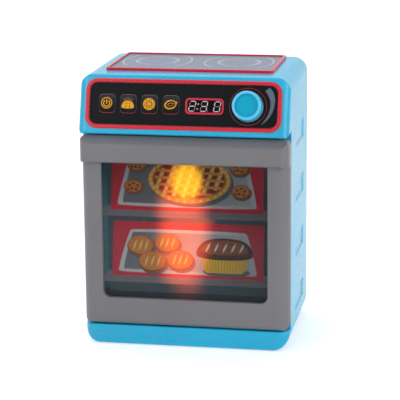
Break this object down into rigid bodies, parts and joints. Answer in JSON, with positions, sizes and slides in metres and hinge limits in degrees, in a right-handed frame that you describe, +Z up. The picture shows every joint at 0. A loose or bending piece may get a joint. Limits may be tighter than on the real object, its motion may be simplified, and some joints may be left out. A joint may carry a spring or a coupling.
{
  "type": "toy oven",
  "caption": "Toy electric oven with a drop-down windowed door, push keys, turning dial, display, hob top and shallow lit chamber.",
  "frame": {"origin": "on the table, in the middle of the oven's overall width and depth", "axes": "+Z up, +Y towards the back, +X to the right seen from the front"},
  "size_m": [0.2, 0.157, 0.2657],
  "materials": {
    "blue_shell": "satin moulded plastic",
    "grey_door": "satin moulded plastic",
    "smoked_window": "smoked clear plastic",
    "red_trim": "satin moulded plastic",
    "panel_black": "gloss",
    "knob_blue": "gloss",
    "knob_dark_blue": "gloss",
    "display_red": "gloss, clear tinted",
    "hob_grey": "satin",
    "shelf_grey": "satin",
    "card_print": "printed",
    "chamber_dark": "matt",
    "board_green": "solder mask",
    "part_black": "matt",
    "plunger_white": "matt",
    "lamp_clear": "clear resin",
    "steel": "zinc plated",
    "brass_contacts": "plated",
    "foot_rubber": "matt",
    "cell_wrap": "plain wrap",
    "speaker_paper": "matt",
    "slider_black": "matt"
  },
  "bodies": {
    "oven_body": {"front_housing": "blue_shell", "rear_housing": "blue_shell", "housing_screws": "steel", "rubber_feet": "foot_rubber", "chamber_back": "chamber_dark", "chamber_screws": "steel", "upper_shelf": "shelf_grey", "lower_shelf": "shelf_grey", "upper_card": "card_print", "lower_card": "card_print", "lamp_board": "board_green", "lamps": "lamp_clear", "lamp_screws": "steel", "hob_rim": "red_trim", "hob_plate": "hob_grey", "control_panel": "panel_black", "panel_ring": "red_trim", "display_lens": "display_red", "display_frame": "red_trim", "display_module": "part_black", "knob_ring": "red_trim", "rotary_switch": "part_black", "control_board": "board_green", "key_switches": "part_black", "board_screws": "steel", "speaker_frame": "steel", "speaker_cone": "speaker_paper", "battery_cells": "cell_wrap", "battery_contacts": "brass_contacts", "battery_hatch": "blue_shell", "hatch_screw": "steel", "power_switch": "part_black"},
    "door": {"door_shell": "grey_door", "door_window": "smoked_window", "door_inner_frame": "grey_door", "door_screws": "steel", "hinge_pins": "steel"},
    "dial": {"knob": "knob_blue", "knob_cap": "knob_dark_blue", "rotary_shaft": "plunger_white"},
    "power_button": {"power_key": "panel_black", "power_switch_plunger": "plunger_white"},
    "bread_button": {"bread_key": "panel_black", "bread_switch_plunger": "plunger_white"},
    "pizza_button": {"pizza_key": "panel_black", "pizza_switch_plunger": "plunger_white"},
    "fish_button": {"fish_key": "panel_black", "fish_switch_plunger": "plunger_white"},
    "switch_slider": {"power_slider": "slider_black"}
  },
  "joints": [
    {"name": "door_hinge", "type": "hinge", "parent": "oven_body", "child": "door", "pos_m": [0, -0.05905, 0.026], "axis": [1, 0, 0], "range_deg": [0, 90]},
    {"name": "dial_turn", "type": "hinge", "parent": "oven_body", "child": "dial", "pos_m": [0.0613, -0.06395, 0.2364], "axis": [0, 0.9563, -0.2924], "range_deg": [0, 270]},
    {"name": "power_press", "type": "slide", "parent": "oven_body", "child": "power_button", "axis": [0, 0.9563, -0.2924], "range_m": [0, 0.0009], "stiffness_N_per_m": 600},
    {"name": "bread_press", "type": "slide", "parent": "oven_body", "child": "bread_button", "axis": [0, 0.9563, -0.2924], "range_m": [0, 0.0009], "stiffness_N_per_m": 600},
    {"name": "pizza_press", "type": "slide", "parent": "oven_body", "child": "pizza_button", "axis": [0, 0.9563, -0.2924], "range_m": [0, 0.0009], "stiffness_N_per_m": 600},
    {"name": "fish_press", "type": "slide", "parent": "oven_body", "child": "fish_button", "axis": [0, 0.9563, -0.2924], "range_m": [0, 0.0009], "stiffness_N_per_m": 600},
    {"name": "power_slide", "type": "slide", "parent": "oven_body", "child": "switch_slider", "axis": [1, 0, 0], "range_m": [0, 0.004]}
  ]
}
